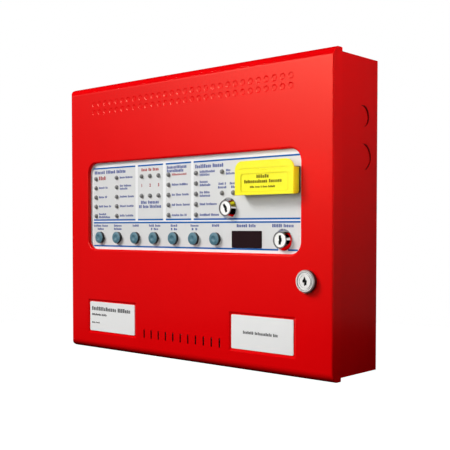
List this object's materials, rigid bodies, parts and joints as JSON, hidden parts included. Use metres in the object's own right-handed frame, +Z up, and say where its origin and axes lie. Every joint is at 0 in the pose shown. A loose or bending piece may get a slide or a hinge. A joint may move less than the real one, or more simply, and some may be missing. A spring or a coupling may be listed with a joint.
{
  "type": "fire alarm control panel",
  "caption": "Wall-mounted fire alarm and extinguishant-release control panel: steel box, hinged windowed door, key switches, push buttons, lamps, covered release control, boards and batteries.",
  "frame": {"origin": "centre of the wall face, the outer back of the box", "axes": "+X to the right seen from the front, +Y into the wall, +Z up; the door faces -Y"},
  "size_m": [0.3857, 0.088, 0.3128],
  "materials": {
    "door_red": "semi-gloss powder coat",
    "box_red": "semi-gloss powder coat",
    "zinc_steel": "zinc plated",
    "chrome_ring": "polished",
    "key_plug": "satin nickel",
    "facia_steel": "matte white paint",
    "overlay_film": "fine matte film",
    "button_cap": "satin",
    "lamp_lens": "translucent diffused",
    "smoked_lens": "smoked, polished",
    "cover_yellow": "glossy moulded",
    "base_black": "moulded",
    "release_red": "moulded",
    "label_laminate": "satin laminate",
    "board_green": "solder mask",
    "component_black": "moulded",
    "terminal_green": "moulded",
    "relay_blue": "moulded",
    "capacitor_sleeve": "shrunk sleeve",
    "fuse_glass": "clear",
    "ribbon_grey": "flat cable",
    "lead_insulation": "pvc",
    "battery_case": "moulded",
    "supply_case": "satin",
    "earth_brass": "turned"
  },
  "bodies": {
    "root": {"back_box": "box_red", "hinge_box_leaves": "box_red", "hinge_pins": "zinc_steel", "facia_pillars": "zinc_steel", "facia_plate": "facia_steel", "facia_overlay": "overlay_film", "facia_screws": "zinc_steel", "display_window": "smoked_lens", "display_module": "component_black", "facia_board": "board_green", "facia_board_spacers": "zinc_steel", "leds_general": "lamp_lens", "leds_zone": "lamp_lens", "leds_output": "lamp_lens", "leds_release": "lamp_lens", "tact_switches": "component_black", "key_housings": "chrome_ring", "key_nuts": "zinc_steel", "key_contacts": "component_black", "release_base": "base_black", "release_hinge_pin": "zinc_steel", "release_contact_block": "component_black", "main_board": "board_green", "main_board_standoffs": "zinc_steel", "terminal_blocks": "terminal_green", "relays": "relay_blue", "circuit_chips": "component_black", "fuses": "fuse_glass", "capacitors": "capacitor_sleeve", "board_headers": "component_black", "ribbon_cable": "ribbon_grey", "sounder": "component_black", "power_supply": "supply_case", "supply_terminals": "component_black", "battery_left": "battery_case", "battery_right": "battery_case", "battery_bracket": "zinc_steel", "battery_leads": "lead_insulation", "earth_stud": "earth_brass"},
    "door": {"door_panel": "door_red", "label_plate_left": "label_laminate", "label_plate_right": "label_laminate", "hinge_door_leaves": "box_red", "lock_housing": "key_plug", "lock_nut": "zinc_steel"},
    "lock": {"lock_barrel": "key_plug", "lock_cam": "zinc_steel", "lock_cam_bolt": "zinc_steel"},
    "mode_key": {"mode_key_rotor": "key_plug"},
    "access_key": {"access_key_rotor": "key_plug"},
    "release_flap": {"release_cover": "cover_yellow"},
    "release_push": {"release_button": "release_red"},
    "push_1": {"button_1": "button_cap"},
    "push_2": {"button_2": "button_cap"},
    "push_3": {"button_3": "button_cap"},
    "push_4": {"button_4": "button_cap"},
    "push_5": {"button_5": "button_cap"},
    "push_6": {"button_6": "button_cap"},
    "push_7": {"button_7": "button_cap"}
  },
  "joints": [
    {"name": "door_swing", "type": "hinge", "parent": "root", "child": "door", "pos_m": [-0.1922, -0.0632, 0], "axis": [0, 0, -1], "range_deg": [0, 110]},
    {"name": "lock_turn", "type": "hinge", "parent": "door", "child": "lock", "pos_m": [0.1621, -0.08, -0.062], "axis": [0, -1, 0], "range_deg": [0, 90]},
    {"name": "mode_key_turn", "type": "hinge", "parent": "root", "child": "mode_key", "pos_m": [0.0596, -0.08, 0.0088], "axis": [0, 1, 0], "range_deg": [0, 90]},
    {"name": "access_key_turn", "type": "hinge", "parent": "root", "child": "access_key", "pos_m": [0.1302, -0.08, -0.0233], "axis": [0, 1, 0], "range_deg": [0, 90]},
    {"name": "release_flap_swing", "type": "hinge", "parent": "root", "child": "release_flap", "pos_m": [0.1147, -0.0827, 0.025], "axis": [1, 0, 0], "range_deg": [0, 90]},
    {"name": "release_push_slide", "type": "slide", "parent": "root", "child": "release_push", "axis": [0, 1, 0], "range_m": [0, 0.004], "stiffness_N_per_m": 800, "springref_m": -0.001},
    {"name": "push_1_slide", "type": "slide", "parent": "root", "child": "push_1", "axis": [0, 1, 0], "range_m": [0, 0.0015], "stiffness_N_per_m": 1200, "springref_m": -0.0005},
    {"name": "push_2_slide", "type": "slide", "parent": "root", "child": "push_2", "axis": [0, 1, 0], "range_m": [0, 0.0015], "stiffness_N_per_m": 1200, "springref_m": -0.0005},
    {"name": "push_3_slide", "type": "slide", "parent": "root", "child": "push_3", "axis": [0, 1, 0], "range_m": [0, 0.0015], "stiffness_N_per_m": 1200, "springref_m": -0.0005},
    {"name": "push_4_slide", "type": "slide", "parent": "root", "child": "push_4", "axis": [0, 1, 0], "range_m": [0, 0.0015], "stiffness_N_per_m": 1200, "springref_m": -0.0005},
    {"name": "push_5_slide", "type": "slide", "parent": "root", "child": "push_5", "axis": [0, 1, 0], "range_m": [0, 0.0015], "stiffness_N_per_m": 1200, "springref_m": -0.0005},
    {"name": "push_6_slide", "type": "slide", "parent": "root", "child": "push_6", "axis": [0, 1, 0], "range_m": [0, 0.0015], "stiffness_N_per_m": 1200, "springref_m": -0.0005},
    {"name": "push_7_slide", "type": "slide", "parent": "root", "child": "push_7", "axis": [0, 1, 0], "range_m": [0, 0.0015], "stiffness_N_per_m": 1200, "springref_m": -0.0005}
  ]
}
